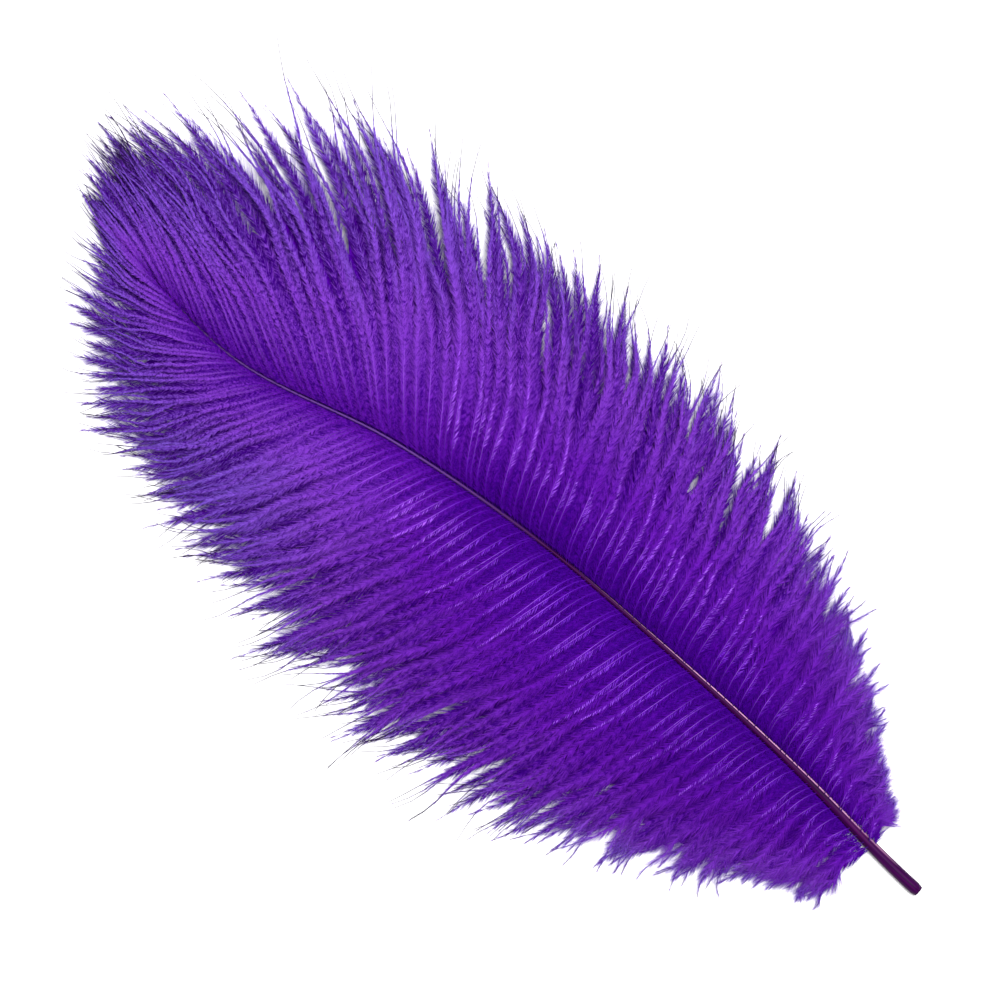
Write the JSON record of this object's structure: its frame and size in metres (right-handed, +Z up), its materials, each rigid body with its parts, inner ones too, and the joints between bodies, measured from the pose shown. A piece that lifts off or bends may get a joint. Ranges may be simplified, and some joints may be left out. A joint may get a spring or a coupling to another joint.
{
  "type": "ostrich feather",
  "caption": "Purple-dyed ostrich plume lying flat: a slim, gently curved shaft with a cut quill end, and a broad soft vane of drooping locks on each side that close into a rounded head.",
  "frame": {"origin": "on the surface the feather lies on, under the middle of its bounding box", "axes": "+X from the cut end of the quill to the head of the plume, +Y to the left vane, +Z up"},
  "size_m": [0.285, 0.1484, 0.0147],
  "materials": {
    "horn": "dyed horn, satin",
    "plume": "dyed down, soft sheen"
  },
  "bodies": {
    "root": {"shaft": "horn", "left_vane": "plume", "right_vane": "plume"}
  },
  "joints": []
}
